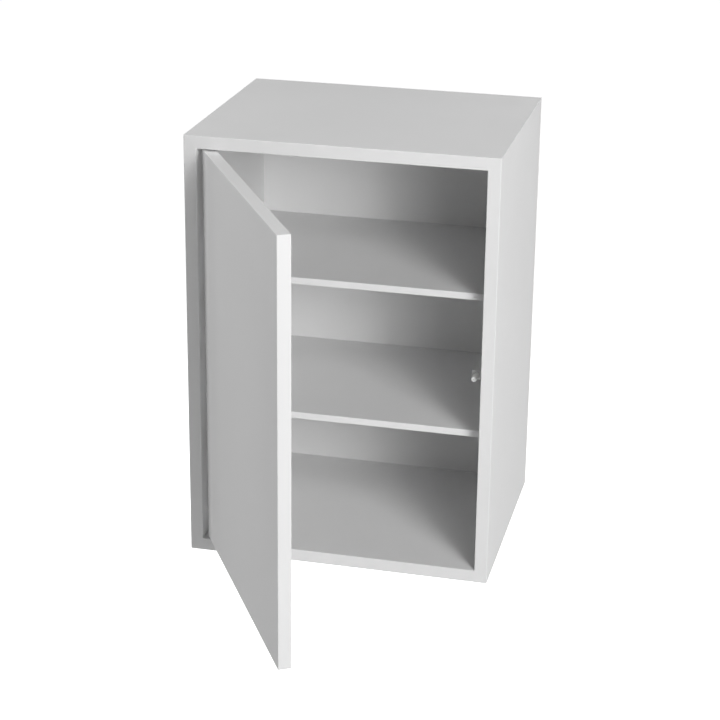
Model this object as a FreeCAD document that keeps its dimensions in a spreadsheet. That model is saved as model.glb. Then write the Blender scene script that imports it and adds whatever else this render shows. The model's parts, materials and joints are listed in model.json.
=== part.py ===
import FreeCAD, Part
import math
import os

# Hanging wall cabinet: a mitred carcass with two thin shelves and one inset door on two
# concealed hinges, with a push latch on the far side. Millimetres.
# Every piece is laid out from the carcass's left, front, bottom corner: X to the right,
# Y from the front edges to the wall, Z up. SHIFT then brings the origin to the middle of
# the two wall bolts, in the rear plane. The door group is also turned to its open angle.

V = FreeCAD.Vector
doc = FreeCAD.newDocument("wall_cabinet")

# ---------------------------------------------------------------- driving dimensions
sheet = doc.addObject("Spreadsheet::Sheet", "dims")
SIZES = [
    ("width", 436.0),        # carcass, outside
    ("height", 620.0),
    ("depth", 350.0),
    ("board", 18.0),         # carcass and door board
    ("edge_round", 1.0),     # lacquered edges
    ("back_front", 326.0),   # front face of the back panel
    ("back_thick", 6.0),
    ("groove_deep", 5.5),
    ("groove_slack", 0.15),
    ("rail_high", 80.0),
    ("rail_thick", 17.95),
    ("bolt_up", 562.0),      # wall bolts above the underside
    ("bolt_half", 168.0),    # half the distance between the wall bolts
    ("bush_bore_rad", 3.25),
    ("bush_out_rad", 5.0),
    ("shelf_thick", 10.0),
    ("shelf_setback", 30.2),
    ("shelf_end_gap", 0.4),
    ("shelf_upper_top", 420.3),
    ("shelf_lower_top", 218.7),
    ("shelf_pin_rad", 2.5),
    ("shelf_pin_front", 67.0),
    ("shelf_pin_rear", 288.0),
    ("door_gap", 2.0),
    ("hinge_upper", 530.0),
    ("hinge_lower", 132.0),
    ("cup_rad", 17.5),
    ("cup_deep", 12.3),
    ("cup_wall", 0.9),
    ("cup_from_edge", 21.0),  # cup centre from the door's hinge edge
    ("cup_flange", 1.0),
    ("link_pin_rad", 1.2),
    ("latch_x", 405.2),
    ("latch_z", 299.3),
    ("latch_tip", 18.4),      # plunger's tip behind the front plane, at rest
    ("plunger_rad", 3.8),
    ("latch_bore_rad", 3.88),
    ("barrel_rad", 5.0),
]
DIM = {}
for row, (alias, value) in enumerate(SIZES, start=1):
    sheet.set("A%d" % row, alias)
    sheet.set("B%d" % row, "%g" % value)
    sheet.setAlias("B%d" % row, alias)
    DIM[alias] = value
doc.recompute()

OPEN_DEG = 59.37                  # the door's angle as modelled
AXIS = V(28.0, -0.5, 0)           # the axis the door turns about
SHIFT = FreeCAD.Placement(V(-218, -350, -562), FreeCAD.Rotation())


def turned(angle, centre):
    """Turn clockwise seen from above, about a vertical line through centre."""
    return FreeCAD.Placement(V(0, 0, 0), FreeCAD.Rotation(V(0, 0, 1), -angle), centre)


DOOR = SHIFT.multiply(turned(OPEN_DEG, AXIS))


def expr(value):
    """An expression on the sheet: names become cells, plain numbers stay numbers."""
    if not isinstance(value, str):
        return "%g" % value
    out, word = "", ""
    for ch in value + " ":
        if ch.isalnum() or ch == "_":
            word += ch
            continue
        out += ("dims." + word) if word in DIM else word
        out += ch
        word = ""
    return out.strip()


def num(value):
    if not isinstance(value, str):
        return float(value)
    total = value
    for name in sorted(DIM, key=len, reverse=True):
        total = total.replace(name, repr(DIM[name]))
    # sums and products of plain numbers only
    return float(FreeCAD.Units.Quantity(total).Value)


# ---------------------------------------------------------------- part primitives
def box(name, corner, size):
    o = doc.addObject("Part::Box", name)
    for prop, value in zip(("Length", "Width", "Height"), size):
        o.setExpression(prop, expr(value))
    for k, value in zip("xyz", corner):
        o.setExpression("Placement.Base." + k, expr(value))
    return o


TURN = {
    "x": FreeCAD.Rotation(V(0, 1, 0), 90),
    "y": FreeCAD.Rotation(V(1, 0, 0), -90),
    "z": FreeCAD.Rotation(),
}


def cyl(name, foot, axis, radius, length):
    """A cylinder from foot towards +axis."""
    o = doc.addObject("Part::Cylinder", name)
    o.Placement = FreeCAD.Placement(V(0, 0, 0), TURN[axis])
    o.setExpression("Radius", expr(radius))
    o.setExpression("Height", expr(length))
    for k, value in zip("xyz", foot):
        o.setExpression("Placement.Base." + k, expr(value))
    return o


def cone(name, foot, axis, radius_a, radius_b, length):
    o = doc.addObject("Part::Cone", name)
    o.Placement = FreeCAD.Placement(V(0, 0, 0), TURN[axis])
    o.setExpression("Radius1", expr(radius_a))
    o.setExpression("Radius2", expr(radius_b))
    o.setExpression("Height", expr(length))
    for k, value in zip("xyz", foot):
        o.setExpression("Placement.Base." + k, expr(value))
    return o


def fuse(name, shapes):
    if len(shapes) == 1:
        return shapes[0]
    o = doc.addObject("Part::MultiFuse", name)
    o.Shapes = shapes
    return o


def cut(name, base, tools):
    o = doc.addObject("Part::Cut", name)
    o.Base = base
    o.Tool = fuse(name + "_tools", tools)
    return o


def group(name, shapes):
    """Identical pieces kept as separate solids in one node."""
    o = doc.addObject("Part::Compound", name)
    o.Links = shapes
    return o


# ---------------------------------------------------------------- part design
def new_body(label):
    return doc.addObject("PartDesign::Body", label)


def on_plane(body, name, role, offset=None):
    plane = [f for f in body.Origin.OriginFeatures if f.Role == role][0]
    s = body.newObject("Sketcher::SketchObject", name)
    s.AttachmentSupport = [(plane, "")]
    s.MapMode = "FlatFace"
    if offset is not None:
        s.setExpression("AttachmentOffset.Base.z", expr(offset))
    return s


def pin_point(s, geo, end, x, y, tag):
    import Sketcher

    for kind, value, letter in (("DistanceX", x, "x"), ("DistanceY", y, "y")):
        i = s.addConstraint(Sketcher.Constraint(kind, -1, 1, geo, end, num(value)))
        s.renameConstraint(i, "%s_%s" % (tag, letter))
        s.setExpression("Constraints.%s_%s" % (tag, letter), expr(value))


def polygon(s, points, tag="p"):
    """A closed outline, every corner held at its own distances from the origin."""
    import Sketcher

    at = [V(num(x), num(y), 0) for x, y in points]
    first = s.GeometryCount
    n = len(points)
    for i in range(n):
        s.addGeometry(Part.LineSegment(at[i], at[(i + 1) % n]), False)
    for i in range(n):
        s.addConstraint(Sketcher.Constraint("Coincident", first + i, 2, first + (i + 1) % n, 1))
    for i, (x, y) in enumerate(points):
        pin_point(s, first + i, 1, x, y, "%s%d" % (tag, i))


def rectangle(s, x0, y0, x1, y1, tag="p"):
    polygon(s, [(x0, y0), (x1, y0), (x1, y1), (x0, y1)], tag)


def circle(s, x, y, radius, tag):
    import Sketcher

    g = s.addGeometry(Part.Circle(V(num(x), num(y), 0), V(0, 0, 1), num(radius)), False)
    i = s.addConstraint(Sketcher.Constraint("Radius", g, num(radius)))
    s.renameConstraint(i, tag + "_r")
    s.setExpression("Constraints.%s_r" % tag, expr(radius))
    pin_point(s, g, 3, x, y, tag)


def pad(body, name, s, length, reverse=False, middle=False):
    f = body.newObject("PartDesign::Pad", name)
    f.Profile = s
    f.setExpression("Length", expr(length))
    f.Reversed = reverse
    if middle:
        f.Midplane = True
    doc.recompute()
    return f


def pocket(body, name, s, length=None, reverse=False, middle=False):
    before = body.Shape.Volume
    f = body.newObject("PartDesign::Pocket", name)
    f.Profile = s
    if length is None:
        f.Type = "ThroughAll"
    else:
        f.setExpression("Length", expr(length))
    f.Reversed = reverse
    if middle:
        f.Midplane = True
    doc.recompute()
    if not body.Shape.Volume < before - 1e-3:
        raise RuntimeError("%s cuts nothing" % name)
    return f


def round_edges(body, name, pick, radius="edge_round"):
    base = body.Tip
    names = [
        "Edge%d" % (i + 1) for i, e in enumerate(base.Shape.Edges) if pick(e)
    ]
    if not names:
        raise RuntimeError("%s finds no edges" % name)
    f = body.newObject("PartDesign::Fillet", name)
    f.Base = (base, names)
    f.setExpression("Radius", expr(radius))
    doc.recompute()
    if f.Shape.isNull() or not f.Shape.isValid():
        raise RuntimeError("%s failed" % name)
    return f


def ends(e):
    return [v.Point for v in e.Vertexes]


def lies(e, axis, at):
    return all(abs(getattr(p, axis) - at) < 1e-6 for p in ends(e)) and len(ends(e)) == 2


def runs(e, axis):
    p = ends(e)
    if len(p) != 2:
        return False
    d = p[1] - p[0]
    return d.Length > 1e-6 and abs(abs(getattr(d, axis)) - d.Length) < 1e-6


NODES = []


def node(obj, label, placement=SHIFT):
    obj.Label = label
    obj.Placement = placement.multiply(obj.Placement)
    NODES.append(obj)
    return obj


# ---------------------------------------------------------------- carcass
# Each panel is a board with mitred ends, grooved for the back panel.
def front_and_rear(e, run):
    return runs(e, run) and (lies(e, "y", 0.0) or lies(e, "y", DIM["depth"]))


def lens(name, centre, normal, thick, half_wide, half_long):
    """A flat wooden biscuit: two arcs, lying along Y across the mitre."""
    r = (half_long**2 + half_wide**2) / (2 * half_wide)
    a = V(0, -half_long, 0)
    b = V(half_wide, 0, 0)
    c = V(0, half_long, 0)
    d = V(-half_wide, 0, 0)
    face = Part.Face(Part.Wire([Part.Arc(a, b, c).toShape(), Part.Arc(c, d, a).toShape()]))
    s = face.extrude(V(0, 0, thick))
    s.translate(V(0, 0, -thick / 2))
    # local X becomes normal, local Z becomes the mitre's own direction
    z = V(0, 1, 0)
    third = normal.cross(z)
    m = FreeCAD.Matrix(
        normal.x, z.x, third.x, centre.x,
        normal.y, z.y, third.y, centre.y,
        normal.z, z.z, third.z, centre.z,
    )
    s.transformShape(m)
    o = doc.addObject("Part::Feature", name)
    o.Shape = s
    return o


W, H, T = DIM["width"], DIM["height"], DIM["board"]
CORNERS = {
    "tl": (V(11, 0, H - 11), V(1, 0, 1)),
    "tr": (V(W - 11, 0, H - 11), V(-1, 0, 1)),
    "bl": (V(11, 0, 11), V(1, 0, -1)),
    "br": (V(W - 11, 0, 11), V(-1, 0, -1)),
}


def biscuits(tag, corners, grow):
    made = []
    for c in corners:
        centre, normal = CORNERS[c]
        normal = V(normal).normalize()
        for k, y in enumerate((85.0, 250.0)):
            made.append(
                lens(
                    "%s_%s%d" % (tag, c, k),
                    V(centre.x, y, centre.z),
                    normal,
                    4.0 + 2 * grow,
                    7.5 + grow,
                    23.5 + 3 * grow,
                )
            )
    return made


def side(tag, outer, inner, corners, cut_reversed):
    """outer and inner are the x of the panel's two faces."""
    b = new_body(tag + "_board")
    s = on_plane(b, tag + "_outline", "XZ_Plane")
    polygon(s, [(outer, 0), (outer, "height"), (inner, "height - board"), (inner, "board")])
    pad(b, tag + "_pad", s, "depth", reverse=True)
    round_edges(b, tag + "_rounds", lambda e: front_and_rear(e, "z"))
    # the back panel's groove
    s = on_plane(b, tag + "_groove_outline", "XY_Plane")
    if outer == 0:
        x0, x1 = "board - groove_deep", "board + 1"
    else:
        x0, x1 = "width - board - 1", "width - board + groove_deep"
    rectangle(s, x0, "back_front - groove_slack", x1, "back_front + back_thick + groove_slack")
    pocket(b, tag + "_groove", s, None, reverse=True)
    # blind holes for the shelf pins, then for the rails' dowels, from the inner face
    s = on_plane(b, tag + "_pin_outline", "YZ_Plane", inner)
    for i, shelf in enumerate(("shelf_upper_top", "shelf_lower_top")):
        for j, y in enumerate(("shelf_pin_front", "shelf_pin_rear")):
            circle(s, y, shelf + " - shelf_thick + shelf_pin_rad", "shelf_pin_rad", "c%d%d" % (i, j))
    pocket(b, tag + "_pin_holes", s, 9, reverse=cut_reversed)
    s = on_plane(b, tag + "_dowel_outline", "YZ_Plane", inner)
    for i, z in enumerate((36, 78, 542, 582)):
        circle(s, "back_front + back_thick + 9", z, 4, "d%d" % i)
    pocket(b, tag + "_dowel_holes", s, 12.5, reverse=cut_reversed)
    return b


def deck(tag, outer, inner):
    """The top or bottom panel: outer and inner are the z of its two faces."""
    b = new_body(tag + "_board")
    s = on_plane(b, tag + "_outline", "XZ_Plane")
    polygon(s, [(0, outer), ("width", outer), ("width - board", inner), ("board", inner)])
    pad(b, tag + "_pad", s, "depth", reverse=True)
    round_edges(b, tag + "_rounds", lambda e: front_and_rear(e, "x"))
    s = on_plane(b, tag + "_groove_outline", "YZ_Plane")
    y0, y1 = "back_front - groove_slack", "back_front + back_thick + groove_slack"
    if outer == 0:
        rectangle(s, y0, "board - groove_deep", y1, "board + 1")
    else:
        rectangle(s, y0, "height - board - 1", y1, "height - board + groove_deep")
    pocket(b, tag + "_groove", s, None, reverse=True)
    return b


left = side("side_left", 0, "board", ("tl", "bl"), False)
# pilot holes for the hinge plates' screws
s = on_plane(left, "plate_pilot_outline", "YZ_Plane", "board")
for i, z in enumerate(("hinge_upper", "hinge_lower")):
    for j, dz in enumerate((" - 16", " + 16")):
        circle(s, 70, z + dz, 1.5, "h%d%d" % (i, j))
pocket(left, "plate_pilots", s, 12)
node(cut("side_left", left, biscuits("slot_l", ("tl", "bl"), 0.1)), "side_left")

right = side("side_right", "width", "width - board", ("tr", "br"), True)
# pilot holes for the latch's screws
s = on_plane(right, "latch_pilot_outline", "YZ_Plane", "width - board")
for i, dz in enumerate((" - 13", " + 13")):
    circle(s, 72, "latch_z" + dz, 1.3, "l%d" % i)
pocket(right, "latch_pilots", s, 12, reverse=True)
node(cut("side_right", right, biscuits("slot_r", ("tr", "br"), 0.1)), "side_right")

node(cut("top_panel", deck("top_panel", "height", "height - board"),
         biscuits("slot_t", ("tl", "tr"), 0.1)), "top_panel")
node(cut("bottom_panel", deck("bottom_panel", 0, "board"),
         biscuits("slot_b", ("bl", "br"), 0.1)), "bottom_panel")
node(group("corner_biscuits", biscuits("biscuit", ("tl", "tr", "bl", "br"), 0.0)), "corner_biscuits")

# back panel, held in the grooves, with two holes for the wall bushes
b = new_body("back_panel_board")
s = on_plane(b, "back_outline", "XZ_Plane", "0 - back_front")
rectangle(s, "board - groove_deep + 0.5", "board - groove_deep + 0.5",
          "width - board + groove_deep - 0.5", "height - board + groove_deep - 0.5")
pad(b, "back_pad", s, "back_thick", reverse=True)
s = on_plane(b, "back_holes_outline", "XZ_Plane", "0 - back_front")
circle(s, "width / 2 - bolt_half", "bolt_up", "bush_out_rad + 0.05", "a")
circle(s, "width / 2 + bolt_half", "bolt_up", "bush_out_rad + 0.05", "b")
pocket(b, "back_holes", s, None)
node(b, "back_panel")

# hanging rail and lower rail, between the sides behind the back panel
RAIL_Y = "back_front + back_thick + 0.05"


def rail(name, z0, high, holes):
    bar = box(name + "_bar", ("board + 0.05", RAIL_Y, z0), ("width - 2 * board - 0.1", "rail_thick", high))
    tools = []
    for i, z in enumerate(holes):
        tools.append(cyl("%s_dowel_l%d" % (name, i), ("board - 1", "back_front + back_thick + 9", z), "x", 4, 19.5))
        tools.append(cyl("%s_dowel_r%d" % (name, i), ("width - board - 18.5", "back_front + back_thick + 9", z), "x", 4, 19.5))
    return bar, tools


bar, tools = rail("hanging_rail", "height - board - rail_high - 0.05", "rail_high", (542, 582))
for k, x in (("l", "width / 2 - bolt_half"), ("r", "width / 2 + bolt_half")):
    tools.append(cyl("hanging_rail_bolt_" + k, (x, "back_front", "bolt_up"), "y", "bush_out_rad + 0.05", 40))
node(cut("hanging_rail", bar, tools), "hanging_rail")
bar, tools = rail("lower_rail", "board + 0.05", "rail_high", (36, 78))
node(cut("lower_rail", bar, tools), "lower_rail")

dowels = []
for i, z in enumerate((36, 78, 542, 582)):
    dowels.append(cyl("dowel_l%d" % i, (6, "back_front + back_thick + 9", z), "x", 3.98, 30))
    dowels.append(cyl("dowel_r%d" % i, ("width - 36", "back_front + back_thick + 9", z), "x", 3.98, 30))
node(group("rail_dowels", dowels), "rail_dowels")

# flanged steel bushes through the back panel and the hanging rail
bushes = []
for k, x in (("l", "width / 2 - bolt_half"), ("r", "width / 2 + bolt_half")):
    tube = cyl("bush_tube_" + k, (x, "back_front", "bolt_up"), "y", "bush_out_rad", "depth - back_front")
    rim = cyl("bush_rim_" + k, (x, "back_front - 1.2", "bolt_up"), "y", "bush_out_rad + 3", 1.2)
    bore = cyl("bush_bore_" + k, (x, "back_front - 5", "bolt_up"), "y", "bush_bore_rad", 60)
    bushes.append(cut("bush_" + k, fuse("bush_body_" + k, [tube, rim]), [bore]))
node(group("wall_bushes", bushes), "wall_bushes")

# ---------------------------------------------------------------- shelves
for tag, top in (("shelf_upper", "shelf_upper_top"), ("shelf_lower", "shelf_lower_top")):
    b = new_body(tag + "_board")
    s = on_plane(b, tag + "_outline", "XY_Plane", top + " - shelf_thick")
    rectangle(s, "board + shelf_end_gap", "shelf_setback", "width - board - shelf_end_gap", "back_front - 0.8")
    pad(b, tag + "_pad", s, "shelf_thick")
    round_edges(b, tag + "_rounds", lambda e: runs(e, "x") and lies(e, "y", DIM["shelf_setback"]))
    s = on_plane(b, tag + "_pin_slots_outline", "XY_Plane", top + " - shelf_thick")
    for i, y in enumerate(("shelf_pin_front", "shelf_pin_rear")):
        rectangle(s, "board - 1", y + " - shelf_pin_rad - 0.2", "board + 8.4", y + " + shelf_pin_rad + 0.2", "l%d_" % i)
        rectangle(s, "width - board - 8.4", y + " - shelf_pin_rad - 0.2", "width - board + 1", y + " + shelf_pin_rad + 0.2", "r%d_" % i)
    pocket(b, tag + "_pin_slots", s, "2 * shelf_pin_rad + 0.02", reverse=True)
    node(b, tag)

pins = []
for shelf in ("upper", "lower"):
    z = "shelf_%s_top - shelf_thick + shelf_pin_rad" % shelf
    for k, y in (("f", "shelf_pin_front"), ("r", "shelf_pin_rear")):
        pins.append(cyl("pin_l%s%s" % (shelf, k), (9.4, y, z), "x", "shelf_pin_rad - 0.02", 16.2))
        pins.append(cyl("pin_r%s%s" % (shelf, k), ("width - 25.6", y, z), "x", "shelf_pin_rad - 0.02", 16.2))
node(group("shelf_pins", pins), "shelf_pins")

# ---------------------------------------------------------------- door
CUP_X = "board + door_gap + cup_from_edge"
door = new_body("door_board")
s = on_plane(door, "door_outline", "XZ_Plane")
rectangle(s, "board + door_gap", "board + door_gap", "width - board - door_gap", "height - board - door_gap")
pad(door, "door_pad", s, "board", reverse=True)
round_edges(door, "door_rounds", lambda e: True)
s = on_plane(door, "door_cups_outline", "XZ_Plane", "0 - board")
circle(s, CUP_X, "hinge_upper", "cup_rad", "u")
circle(s, CUP_X, "hinge_lower", "cup_rad", "w")
pocket(door, "door_cups", s, "cup_deep + 0.4", reverse=True)
s = on_plane(door, "door_pilots_outline", "XZ_Plane", "0 - board")
for i, z in enumerate(("hinge_upper", "hinge_lower")):
    for j, dz in enumerate((" - 22.5", " + 22.5")):
        circle(s, CUP_X + " + 9.5", z + dz, 1.5, "s%d%d" % (i, j))
pocket(door, "door_pilots", s, 11, reverse=True)
node(door, "door_panel", DOOR)

# ---------------------------------------------------------------- hinges
# The door turns about AXIS. Each hinge has a cup sunk in the door, an arm clipped to a
# plate on the left side, and bent links between them: an outer pair and an inner one.
# A link turns on its pin in the arm, and its other end moves inside the cup.
def bar(name, points, half, low, high, eye):
    """A bent flat link: a band along the points, with a round eye and hole at the first."""
    wire = Part.Wire([
        Part.LineSegment(V(x0, y0, 0), V(x1, y1, 0)).toShape()
        for (x0, y0), (x1, y1) in zip(points, points[1:])
    ])
    face = wire.makeOffset2D(half, 0, False, False, False)
    face = Part.Face(face) if face.ShapeType == "Wire" else face
    s = face.extrude(V(0, 0, high - low))
    x, y = points[0]
    s = s.fuse(Part.makeCylinder(eye, high - low, V(x, y, 0)))
    s = s.cut(Part.makeCylinder(DIM["link_pin_rad"] + 0.07, high - low + 2, V(x, y, -1)))
    s = s.removeSplitter()
    s.translate(V(0, 0, low))
    o = doc.addObject("Part::Feature", name)
    o.Shape = s
    return o


OUTER = [(58.49, 22.41), (46.2, 7.65), (41.66, 2.19), (39.74, 1.51), (36.41, 3.26)]
INNER = [(62.61, 27.0), (46.9, 8.8), (41.25, 2.23), (39.88, 1.7), (36.5, 3.25)]
ARM = [(27.4, 98), (27.4, 56), (34, 44), (55.6, 19.8), (60.4, 19.8), (67.6, 25.6), (67.6, 31.5),
       (40.5, 50), (36.5, 58), (36.5, 98)]
ARM_HOLLOW = [(20, 104), (20, 50), (30, 40), (50, 12), (66.2, 12), (66.2, 30.8),
              (39.4, 49.1), (35.1, 57.6), (35.1, 104)]
cup_screws, arm_pins, plate_screws, arm_screws = [], [], [], []
for tag, z in (("upper", "hinge_upper"), ("lower", "hinge_lower")):
    zc = DIM[z]
    # cup: a pressed shell with a thin rim and a flange that takes two screws
    shell = cyl("cup_shell_" + tag, (CUP_X, "board - cup_deep", z), "y", "cup_rad - 0.1", "cup_deep")
    ring = cyl("cup_ring_" + tag, (CUP_X, "board", z), "y", "cup_rad + 1.2", 0.4)
    wing = box("cup_wing_" + tag, (CUP_X + " + 2", "board", z + " - 29"), (15.5, "cup_flange", 58))
    inside = cyl("cup_inside_" + tag, (CUP_X, "board - cup_deep + cup_wall", z), "y", "cup_rad - 0.1 - cup_wall", 30)
    holes = [inside]
    for j, dz in enumerate((" - 22.5", " + 22.5")):
        at = (CUP_X + " + 9.5", z + dz)
        holes.append(cone("cup_sink_%s%d" % (tag, j), (at[0], "board", at[1]), "y", 2.2, 3.5, "cup_flange"))
        head = cone("cup_screw_head_%s%d" % (tag, j), (at[0], "board", at[1]), "y", 2.1, 3.4, "cup_flange")
        shank = cyl("cup_screw_shank_%s%d" % (tag, j), (at[0], "board - 10", at[1]), "y", 1.48, 10)
        drive = [
            box("cup_slot_a_%s%d" % (tag, j), (CUP_X + " + 7.3", "board + cup_flange - 0.6", z + dz + " - 0.4"), (4.4, 3, 0.8)),
            box("cup_slot_b_%s%d" % (tag, j), (CUP_X + " + 9.1", "board + cup_flange - 0.6", z + dz + " - 2.2"), (0.8, 3, 4.4)),
        ]
        cup_screws.append(cut("cup_screw_%s%d" % (tag, j), fuse("cup_screw_body_%s%d" % (tag, j), [head, shank]), drive))
    node(cut("hinge_cup_" + tag, fuse("cup_body_" + tag, [shell, ring, wing]), holes), "hinge_cup_" + tag, DOOR)

    # links: the outer one is a pair of cheeks, the inner one runs between them
    pair = group("outer_link_pair_" + tag, [
        bar("outer_link_a_" + tag, OUTER, 1.1, zc + 3.0, zc + 5.0, 2.6),
        bar("outer_link_b_" + tag, OUTER, 1.1, zc - 5.0, zc - 3.0, 2.6),
    ])
    node(pair, "outer_link_" + tag)
    node(bar("inner_link_bar_" + tag, INNER, 1.1, zc - 2.4, zc + 2.4, 2.6), "inner_link_" + tag)

    # arm: a bent channel, open towards the door
    b = new_body("arm_channel_" + tag)
    s = on_plane(b, "arm_outline_" + tag, "XY_Plane", z)
    polygon(s, ARM)
    pad(b, "arm_pad_" + tag, s, 13.6, middle=True)
    s = on_plane(b, "arm_hollow_outline_" + tag, "XY_Plane", z)
    polygon(s, ARM_HOLLOW)
    pocket(b, "arm_hollow_" + tag, s, 10.8, middle=True)
    holes = []
    for k, (x, y) in (("o", OUTER[0]), ("i", INNER[0])):
        holes.append(cyl("arm_pin_hole_%s_%s" % (k, tag), (x, y, z + " - 10"), "z", "link_pin_rad + 0.02", 20))
    for k, y in (("f", 66), ("r", 90)):
        holes.append(cyl("arm_screw_hole_%s_%s" % (k, tag), (30, y, z), "x", 2.05, 10))
    node(cut("hinge_arm_" + tag, b, holes), "hinge_arm_" + tag)
    x, y = OUTER[0]
    arm_pins.append(cyl("pin_outer_a_" + tag, (x, y, z + " + 2.7"), "z", "link_pin_rad", 4.3))
    arm_pins.append(cyl("pin_outer_b_" + tag, (x, y, z + " - 7.0"), "z", "link_pin_rad", 4.3))
    x, y = INNER[0]
    arm_pins.append(cyl("pin_inner_" + tag, (x, y, z + " - 7.0"), "z", "link_pin_rad", 14))

    # mounting plate on the left side, with its two wood screws and the arm's two screws
    base = box("plate_base_" + tag, ("board", 52, z + " - 8"), (2.5, 48, 16))
    wings = box("plate_wings_" + tag, ("board", 62, z + " - 22"), (2.5, 16, 44))
    block = box("plate_block_" + tag, ("board + 2.5", 58, z + " - 5.2"), (14.2, 40, 10.4))
    holes = []
    for j, dz in enumerate((" - 16", " + 16")):
        at = (70, z + dz)
        holes.append(cyl("plate_hole_%s%d" % (tag, j), ("board - 1", at[0], at[1]), "x", 2.1, 5))
        holes.append(cone("plate_sink_%s%d" % (tag, j), ("board + 0.8", at[0], at[1]), "x", 2.1, 3.8, 1.7))
        head = cone("plate_screw_head_%s%d" % (tag, j), ("board + 0.8", at[0], at[1]), "x", 2.0, 3.7, 1.7)
        shank = cyl("plate_screw_shank_%s%d" % (tag, j), ("board - 11", at[0], at[1]), "x", 1.48, 11.8)
        drive = [
            box("plate_slot_a_%s%d" % (tag, j), ("board + 1.8", 67.6, z + dz + " - 0.45"), (3, 4.8, 0.9)),
            box("plate_slot_b_%s%d" % (tag, j), ("board + 1.8", 69.55, z + dz + " - 2.4"), (3, 0.9, 4.8)),
        ]
        plate_screws.append(cut("plate_screw_%s%d" % (tag, j), fuse("plate_screw_body_%s%d" % (tag, j), [head, shank]), drive))
    for k, y in (("f", 66), ("r", 90)):
        holes.append(cyl("plate_screw_hole_%s_%s" % (k, tag), ("board + 4", y, z), "x", 1.95, 20))
        head = cyl("arm_screw_head_%s_%s" % (k, tag), (36.5, y, z), "x", 3.2, 1.6)
        shank = cyl("arm_screw_shank_%s_%s" % (k, tag), (23, y, z), "x", 1.9, 13.5)
        drive = [
            box("arm_slot_a_%s_%s" % (k, tag), (37.3, y - 2.2, z + " - 0.45"), (3, 4.4, 0.9)),
            box("arm_slot_b_%s_%s" % (k, tag), (37.3, y - 0.45, z + " - 2.2"), (3, 0.9, 4.4)),
        ]
        arm_screws.append(cut("arm_screw_%s_%s" % (k, tag), fuse("arm_screw_body_%s_%s" % (k, tag), [head, shank]), drive))
    node(cut("hinge_plate_" + tag, fuse("plate_body_" + tag, [base, wings, block]), holes), "hinge_plate_" + tag)
node(group("cup_screws", cup_screws), "cup_screws", DOOR)
node(group("arm_pins", arm_pins), "arm_pins")
node(group("plate_screws", plate_screws), "plate_screws")
node(group("arm_screws", arm_screws), "arm_screws")

# ---------------------------------------------------------------- push latch
# A barrel in a holder on the right side. The plunger faces the door's inner face.
holder_box = box("latch_box", ("latch_x - 5.8", 37, "latch_z - 6.5"), ("width - board - latch_x + 5.8", 65, 13))
plate_box = box("latch_plate", ("width - board - 2.5", 60, "latch_z - 18"), (2.5, 24, 36))
holes = [cyl("latch_seat", ("latch_x", 36, "latch_z"), "y", "barrel_rad + 0.05", 64.1)]
latch_screws = []
for j, dz in enumerate((" - 13", " + 13")):
    holes.append(cyl("latch_hole_%d" % j, ("width - board - 4", 72, "latch_z" + dz), "x", 1.6, 8))
    head = cyl("latch_screw_head_%d" % j, ("width - board - 4.3", 72, "latch_z" + dz), "x", 2.9, 1.8)
    shank = cyl("latch_screw_shank_%d" % j, ("width - board - 2.5", 72, "latch_z" + dz), "x", 1.28, 13.5)
    drive = [
        box("latch_slot_a_%d" % j, ("width - board - 6", 69.9, "latch_z" + dz + " - 0.4"), (2.6, 4.2, 0.8)),
        box("latch_slot_b_%d" % j, ("width - board - 6", 71.6, "latch_z" + dz + " - 2.1"), (2.6, 0.8, 4.2)),
    ]
    latch_screws.append(cut("latch_screw_%d" % j, fuse("latch_screw_body_%d" % j, [head, shank]), drive))
holder = cut("latch_holder_cut", fuse("latch_holder_body", [holder_box, plate_box]), holes)
node(holder, "latch_holder")
node(group("latch_screws", latch_screws), "latch_screws")
tube = cyl("latch_tube", ("latch_x", 38, "latch_z"), "y", "barrel_rad", 62)
bore = cyl("latch_bore", ("latch_x", 36, "latch_z"), "y", "latch_bore_rad", 61)
node(cut("latch_barrel", tube, [bore]), "latch_barrel")

b = new_body("plunger_turned")
s = on_plane(b, "plunger_outline", "XY_Plane", "latch_z")
TIP = "latch_tip"
polygon(s, [
    ("latch_x", TIP + " + 1.4"), ("latch_x + 0.9", TIP + " + 1.4"), ("latch_x + 0.9", TIP),
    ("latch_x + plunger_rad - 1.9", TIP), ("latch_x + plunger_rad - 0.95", TIP + " + 0.26"),
    ("latch_x + plunger_rad - 0.26", TIP + " + 0.95"), ("latch_x + plunger_rad", TIP + " + 1.9"),
    ("latch_x + plunger_rad", 58), ("latch_x + 2", 58), ("latch_x + 2", 84), ("latch_x", 84),
])
f = b.newObject("PartDesign::Revolution", "plunger_turn")
f.Profile = s
f.ReferenceAxis = (s, ["Edge11"])
f.Angle = 360
doc.recompute()
if f.Shape.isNull() or abs(f.Shape.BoundBox.ZLength - 2 * DIM["plunger_rad"]) > 0.01:
    raise RuntimeError("plunger is not round")
node(b, "latch_plunger")

COIL_RAD, COIL_PITCH, COIL_LEN, WIRE_RAD = 2.95, 3.6, 32.0, 0.36


def on_coil(turn):
    a = 2 * math.pi * turn
    return V(COIL_RAD * math.cos(a), COIL_RAD * math.sin(a), COIL_PITCH * turn)


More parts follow.
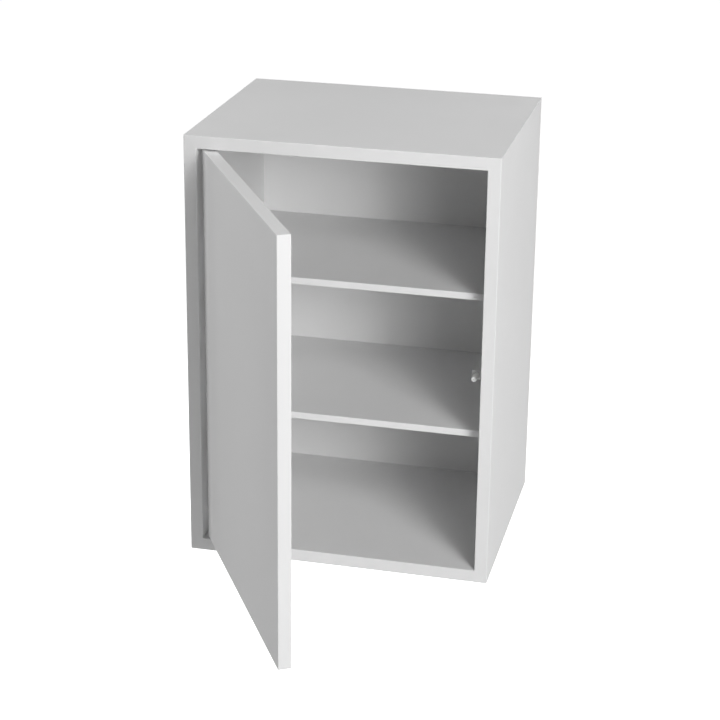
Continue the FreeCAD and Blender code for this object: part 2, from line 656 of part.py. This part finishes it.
pieces = int(math.ceil(COIL_LEN / COIL_PITCH * 4))
turns = COIL_LEN / COIL_PITCH / pieces
coil = Part.Wire([Part.Arc(on_coil(i * turns), on_coil((i + 0.5) * turns), on_coil((i + 1) * turns)).toShape() for i in range(pieces)])
ring = Part.Wire([Part.makeCircle(WIRE_RAD, on_coil(0), V(0, COIL_RAD, COIL_PITCH / (2 * math.pi)))])
spring = coil.makePipeShell([ring], True, True)
wire_len = math.hypot(2 * math.pi * COIL_RAD, COIL_PITCH) * COIL_LEN / COIL_PITCH
if abs(spring.Volume - math.pi * WIRE_RAD ** 2 * wire_len) > 0.01 * spring.Volume:
    raise RuntimeError("spring has the wrong volume")
spring.transformShape(FreeCAD.Placement(V(DIM["latch_x"], 62.2, DIM["latch_z"]), TURN["y"]).toMatrix())
o = doc.addObject("Part::Feature", "latch_spring_coil")
o.Shape = spring
node(o, "latch_spring")

# ---------------------------------------------------------------- finish
doc.recompute()
bad = []
for o in doc.Objects:
    if "Invalid" in o.State or "Error" in o.State:
        bad.append("%s %s" % (o.Name, o.State))
for o in NODES:
    if o.Shape.isNull() or not o.Shape.isValid():
        bad.append("%s has no valid shape" % o.Label)
if bad:
    raise RuntimeError("; ".join(bad))
os.makedirs("parts", exist_ok=True)
for o in NODES:
    o.Shape.exportStep("parts/%s.step" % o.Label)
    bb = o.Shape.BoundBox
    print("%-20s solids %2d  volume %10.1f  x %7.1f..%7.1f y %7.1f..%7.1f z %7.1f..%7.1f" % (
        o.Label, len(o.Shape.Solids), o.Shape.Volume, bb.XMin, bb.XMax, bb.YMin, bb.YMax, bb.ZMin, bb.ZMax))
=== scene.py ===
import json
import math

import bpy
import bmesh
from mathutils import Matrix, Vector


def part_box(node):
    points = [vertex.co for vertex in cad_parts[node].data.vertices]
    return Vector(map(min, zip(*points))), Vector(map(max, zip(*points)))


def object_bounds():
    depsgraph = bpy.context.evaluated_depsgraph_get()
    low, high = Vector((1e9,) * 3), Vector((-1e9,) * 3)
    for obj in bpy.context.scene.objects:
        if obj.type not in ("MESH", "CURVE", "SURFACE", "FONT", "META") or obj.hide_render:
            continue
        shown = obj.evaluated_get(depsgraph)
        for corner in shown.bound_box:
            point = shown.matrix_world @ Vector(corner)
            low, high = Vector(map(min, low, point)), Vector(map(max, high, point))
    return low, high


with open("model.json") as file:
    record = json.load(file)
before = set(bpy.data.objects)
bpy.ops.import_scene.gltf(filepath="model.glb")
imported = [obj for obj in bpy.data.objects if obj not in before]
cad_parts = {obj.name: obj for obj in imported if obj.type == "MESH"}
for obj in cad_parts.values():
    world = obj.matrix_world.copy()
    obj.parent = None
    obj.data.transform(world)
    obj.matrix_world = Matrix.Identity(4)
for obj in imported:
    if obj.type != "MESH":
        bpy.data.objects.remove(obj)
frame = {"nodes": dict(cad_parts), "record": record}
CAD_BOX = [list(v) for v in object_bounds()]
REC = frame["record"]
NODES = frame["nodes"]
scene = bpy.context.scene

# ---------------------------------------------------------------- camera
lo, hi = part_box("side_left")
CORNER = Vector((lo.x, lo.y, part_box("bottom_panel")[0].z))  # front lower left corner of the carcass
AZ, EL, ROLL = 12.794, 19.316, 0.853
FOCAL, PX, PY = 1943.3, 377.9, 290.0
PLACE = CORNER + Vector((0.8229, -2.4218, 1.2939))


def make_camera():
    az, el, roll = math.radians(AZ), math.radians(EL), math.radians(ROLL)
    back = Vector((math.sin(az) * math.cos(el), -math.cos(az) * math.cos(el), math.sin(el)))
    right = Vector((0, 0, 1)).cross(back).normalized()
    up = back.cross(right)
    r2 = right * math.cos(roll) + up * math.sin(roll)
    u2 = -right * math.sin(roll) + up * math.cos(roll)
    data = bpy.data.cameras.new("camera")
    data.sensor_width = 36.0
    data.sensor_fit = "HORIZONTAL"
    data.lens = FOCAL / 720.0 * 36.0
    data.shift_x = (360.0 - PX) / 720.0
    data.shift_y = (PY - 360.0) / 720.0
    data.clip_start, data.clip_end = 0.05, 100.0
    cam = bpy.data.objects.new("camera", data)
    m = Matrix((r2, u2, back)).transposed().to_4x4()
    m.translation = PLACE
    cam.matrix_world = m
    scene.collection.objects.link(cam)
    scene.camera = cam
    return cam


make_camera()
scene.view_settings.view_transform = "Standard"
scene.view_settings.look = "None"
scene.view_settings.exposure = 0.0
scene.view_settings.gamma = 1.0


# ---------------------------------------------------------------- materials
class Tree:
    """A short way to write a node material."""

    def __init__(self, name):
        self.mat = bpy.data.materials.new(name)
        self.mat.use_nodes = True
        self.nt = self.mat.node_tree
        self.nt.nodes.clear()
        self.out = self.nt.nodes.new("ShaderNodeOutputMaterial")
        self.bsdf = self.nt.nodes.new("ShaderNodeBsdfPrincipled")
        self.link(self.bsdf.outputs[0], self.out.inputs[0])
        self.co = self.nt.nodes.new("ShaderNodeTexCoord")

    def link(self, a, b):
        self.nt.links.new(a, b)

    def put(self, socket, v):
        if hasattr(v, "links") or isinstance(v, bpy.types.NodeSocket):
            self.link(v, socket)
        else:
            socket.default_value = v

    def mapping(self, scale=(1, 1, 1), rotation=(0, 0, 0), location=(0, 0, 0)):
        n = self.nt.nodes.new("ShaderNodeMapping")
        self.link(self.co.outputs["Object"], n.inputs["Vector"])
        n.inputs["Scale"].default_value = scale
        n.inputs["Rotation"].default_value = rotation
        n.inputs["Location"].default_value = location
        return n.outputs[0]

    def noise(self, vector, scale, detail=3.0, rough=0.5, distortion=0.0):
        n = self.nt.nodes.new("ShaderNodeTexNoise")
        self.put(n.inputs["Vector"], vector)
        n.inputs["Scale"].default_value = scale
        n.inputs["Detail"].default_value = detail
        n.inputs["Roughness"].default_value = rough
        n.inputs["Distortion"].default_value = distortion
        return n.outputs["Fac"]

    def voronoi(self, vector, scale, feature="F1"):
        n = self.nt.nodes.new("ShaderNodeTexVoronoi")
        n.feature = feature
        self.put(n.inputs["Vector"], vector)
        n.inputs["Scale"].default_value = scale
        return n.outputs["Distance"]

    def wave(self, vector, scale, distortion=2.0, detail=3.0, bands="X", rings=False):
        n = self.nt.nodes.new("ShaderNodeTexWave")
        n.wave_type = "RINGS" if rings else "BANDS"
        if rings:
            n.rings_direction = bands
        else:
            n.bands_direction = bands
        self.put(n.inputs["Vector"], vector)
        n.inputs["Scale"].default_value = scale
        n.inputs["Distortion"].default_value = distortion
        n.inputs["Detail"].default_value = detail
        return n.outputs["Fac"]

    def ramp(self, fac, stops):
        n = self.nt.nodes.new("ShaderNodeValToRGB")
        self.link(fac, n.inputs[0])
        cr = n.color_ramp
        while len(cr.elements) < len(stops):
            cr.elements.new(0.5)
        for e, (p, c) in zip(cr.elements, stops):
            e.position = p
            e.color = (*c, 1.0) if len(c) == 3 else c
        return n.outputs[0]

    def spread(self, fac, lo_, hi_, from_lo=0.3, from_hi=0.7):
        n = self.nt.nodes.new("ShaderNodeMapRange")
        self.link(fac, n.inputs["Value"])
        n.inputs["From Min"].default_value = from_lo
        n.inputs["From Max"].default_value = from_hi
        n.inputs["To Min"].default_value = lo_
        n.inputs["To Max"].default_value = hi_
        return n.outputs["Result"]

    def mix(self, fac, a, b, blend="MIX"):
        n = self.nt.nodes.new("ShaderNodeMix")
        n.data_type = "RGBA"
        n.blend_type = blend
        self.put(n.inputs[0], fac)
        for i, v in ((6, a), (7, b)):
            if isinstance(v, tuple):
                v = (*v, 1.0) if len(v) == 3 else v
            self.put(n.inputs[i], v)
        return n.outputs[2]

    def math(self, op, a, b=0.0):
        n = self.nt.nodes.new("ShaderNodeMath")
        n.operation = op
        self.put(n.inputs[0], a)
        self.put(n.inputs[1], b)
        return n.outputs[0]

    def bump(self, height, distance, strength=1.0, normal=None):
        n = self.nt.nodes.new("ShaderNodeBump")
        n.inputs["Strength"].default_value = strength
        n.inputs["Distance"].default_value = distance
        self.link(height, n.inputs["Height"])
        if normal is not None:
            self.link(normal, n.inputs["Normal"])
        return n.outputs[0]

    def set(self, **kw):
        for k, v in kw.items():
            self.put(self.bsdf.inputs[k.replace("_", " ")], v)
        return self


GREY = (0.780, 0.780, 0.780)


def lacquer(name, base=GREY, rough=(0.52, 0.62), peel=1.0):
    """Sprayed satin lacquer: a faint orange peel and a slight mottle in tone and gloss."""
    t = Tree(name)
    flat = t.mapping()
    cloud = t.noise(flat, 5.0, 2.0, 0.5)
    fine = t.noise(flat, 420.0, 2.0, 0.5)
    tone = t.mix(t.spread(cloud, 0.0, 1.0), tuple(c * 0.988 for c in base), tuple(c * 1.012 for c in base))
    tone = t.mix(t.spread(fine, 0.0, 0.05), tone, tuple(c * 0.90 for c in base))
    gloss = t.noise(flat, 26.0, 3.0, 0.55)
    peel_h = t.noise(flat, 650.0, 2.0, 0.4)
    dust = t.voronoi(flat, 240.0)
    n = t.bump(peel_h, 0.00006 * peel, 0.35)
    n = t.bump(t.spread(dust, 1.0, 0.0, 0.0, 0.05), 0.00003, 0.25, n)
    t.set(Base_Color=tone, Roughness=t.spread(gloss, rough[0], rough[1]), Normal=n)
    t.bsdf.inputs["Specular IOR Level"].default_value = 0.30
    return t.mat


def raw_board(name):
    """Bare medium-density board: pressed fibres, darker flecks."""
    t = Tree(name)
    v = t.mapping()
    fib = t.noise(t.mapping(scale=(1.0, 1.0, 3.0)), 260.0, 5.0, 0.65)
    big = t.noise(v, 22.0, 3.0, 0.5)
    c = t.ramp(fib, [(0.25, (0.36, 0.26, 0.165)), (0.5, (0.47, 0.355, 0.235)), (0.8, (0.58, 0.46, 0.32))])
    c = t.mix(t.spread(big, 0.0, 0.35), c, (0.40, 0.29, 0.18))
    t.set(Base_Color=c, Roughness=t.spread(fib, 0.78, 0.92), Normal=t.bump(fib, 0.0001, 0.5))
    t.bsdf.inputs["Specular IOR Level"].default_value = 0.25
    return t.mat


def beech(name):
    t = Tree(name)
    v = t.mapping(scale=(1.0, 9.0, 9.0))
    grain = t.wave(v, 26.0, 5.0, 4.0)
    pores = t.noise(t.mapping(scale=(1.0, 14.0, 14.0)), 160.0, 3.0, 0.6)
    c = t.mix(grain, (0.50, 0.33, 0.19), (0.62, 0.44, 0.28))
    c = t.mix(t.spread(pores, 0.0, 0.6, 0.55, 0.75), c, (0.33, 0.20, 0.11))
    t.set(Base_Color=c, Roughness=t.spread(grain, 0.55, 0.68), Normal=t.bump(pores, 0.00005, 0.5))
    return t.mat


def metal(name, base, rough, brushed=(1, 1, 1), scale=900.0, patina=0.06):
    """Plated pressed steel: fine rolling marks, a faintly cloudy plating and small handling scuffs."""
    t = Tree(name)
    marks = t.noise(t.mapping(scale=brushed), scale, 3.0, 0.55)
    cloud = t.noise(t.mapping(), 45.0, 2.0, 0.5)
    scuff = t.noise(t.mapping(scale=(1.0, 1.0, 0.25)), 300.0, 2.0, 0.5)
    c = t.mix(t.spread(cloud, 0.0, patina), base, tuple(x * 0.7 for x in base))
    c = t.mix(t.spread(marks, 0.0, 0.05), c, tuple(min(1.0, x * 1.15) for x in base))
    r = t.math("ADD", t.spread(marks, -0.02, 0.02), t.spread(cloud, rough - 0.03, rough + 0.04))
    r = t.math("ADD", r, t.spread(scuff, 0.0, 0.10, 0.62, 0.72))
    t.set(Base_Color=c, Roughness=r, Normal=t.bump(marks, 0.00001, 0.25))
    t.bsdf.inputs["Metallic"].default_value = 1.0
    return t.mat


def plastic(name, base, rough, texture=1100.0, depth=0.00003):
    """Moulded plastic: a fine spark-eroded texture, faint flow marks."""
    t = Tree(name)
    v = t.mapping()
    grit = t.noise(v, texture, 3.0, 0.6)
    flow = t.noise(t.mapping(scale=(1.0, 0.3, 1.0)), 60.0, 2.0, 0.5)
    c = t.mix(t.spread(flow, 0.0, 1.0), tuple(x * 0.97 for x in base), tuple(min(1.0, x * 1.03) for x in base))
    c = t.mix(t.spread(grit, 0.0, 0.06), c, tuple(x * 0.8 for x in base))
    t.set(Base_Color=c, Roughness=t.spread(grit, rough - 0.04, rough + 0.05), Normal=t.bump(grit, depth, 0.4))
    t.bsdf.inputs["Specular IOR Level"].default_value = 0.45
    return t.mat


MATS = {
    "lacquer": lacquer("satin_lacquer", rough=(0.62, 0.72)),
    "back_lacquer": lacquer("satin_lacquer_back", rough=(0.64, 0.74), peel=0.8),
    "raw_board": raw_board("bare_fibreboard"),
    "beech": beech("beech"),
    "steel": metal("zinc_plated_steel", (0.70, 0.71, 0.73), 0.36),
    "nickel": metal("nickel_plated_steel", (0.78, 0.765, 0.735), 0.33, brushed=(0.15, 1, 1), patina=0.08),
    "latch_grey": plastic("moulded_grey", (0.74, 0.74, 0.735), 0.46),
    "white_plastic": plastic("moulded_white", (0.92, 0.92, 0.905), 0.34, depth=0.00002),
}

slot_of = {s["node"]: s["material_slot"] for s in REC["subparts"]}
for name, o in NODES.items():
    slot = slot_of[name]
    o.data.materials.clear()
    o.data.materials.append(MATS[slot])
    for p in o.data.polygons:
        p.material_index = 0

# ---------------------------------------------------------------- studio
# The cabinet hangs, so the floor lies well below it. The floor and the sky are plain white
# for the camera; a pale board under them returns the lamps' light to the object.
FLOOR_Z = CAD_BOX[0][2] - 0.99
MID = Vector((0, -0.175, -0.25))
ONLY_FOR_CAMERA = ("visible_diffuse", "visible_glossy", "visible_transmission", "visible_volume_scatter", "visible_shadow")


def disc(name, radius, z, colour, glow):
    mesh = bpy.data.meshes.new(name)
    bm = bmesh.new()
    bmesh.ops.create_circle(bm, cap_ends=True, radius=radius, segments=128)
    bm.to_mesh(mesh)
    bm.free()
    o = bpy.data.objects.new(name, mesh)
    o.location = (0, 0, z)
    scene.collection.objects.link(o)
    t = Tree("pale_" + name)
    t.set(Base_Color=(*colour, 1.0), Roughness=0.9)
    t.bsdf.inputs["Specular IOR Level"].default_value = 0.0
    t.bsdf.inputs["Emission Color"].default_value = (1, 1, 1, 1)
    t.bsdf.inputs["Emission Strength"].default_value = glow
    mesh.materials.append(t.mat)
    return o


floor = disc("floor", 60.0, FLOOR_Z, (0.85, 0.85, 0.85), 1.0)
for flag in ONLY_FOR_CAMERA:
    setattr(floor, flag, False)
board = disc("bounce_board", 40.0, FLOOR_Z - 0.002, (0.85, 0.85, 0.85), 0.0)
board.visible_camera = False

world = bpy.data.worlds.new("studio")
scene.world = world
world.use_nodes = True
bg = world.node_tree.nodes["Background"]
bg.inputs["Color"].default_value = (1, 1, 1, 1)
bg.inputs["Strength"].default_value = 1.0
for flag in ("diffuse", "glossy", "transmission", "scatter"):
    setattr(world.cycles_visibility, flag, False)


def area(name, azimuth, elevation, distance, size, watts, target=MID):
    """A square softbox aimed at the middle. Azimuth 0 is in front, 90 to the right."""
    a, e = math.radians(azimuth), math.radians(elevation)
    d = Vector((math.sin(a) * math.cos(e), -math.cos(a) * math.cos(e), math.sin(e)))
    data = bpy.data.lights.new(name, "AREA")
    data.shape = "RECTANGLE"
    data.size, data.size_y = size
    data.energy = watts
    o = bpy.data.objects.new(name, data)
    o.location = target + d * distance
    o.rotation_mode = "QUATERNION"
    o.rotation_quaternion = (-d).to_track_quat("-Z", "Y")
    o.visible_camera = False
    scene.collection.objects.link(o)
    return o


for name, az, el, watts in (
    ("key_high", 40, 30, 23.0),
    ("key_low", 40, 15, 18.5),
    ("key_level", 36, 0, 8.0),
    ("key_front", 30, 15, 15.5),
    ("key_front_high", 30, 30, 7.5),
    ("right_side", 115, 0, 21.0),
    ("right_top", 115, 50, 6.0),
    ("left_front", -35, 15, 4.0),
    ("left_low", -65, 0, 7.5),
    ("left_top", -90, 50, 42.0),
    ("left_rear", -130, 10, 18.0),
    ("rear", 180, 10, 25.0),
):
    area(name, az, el, 3.0, (0.8, 0.8), watts)
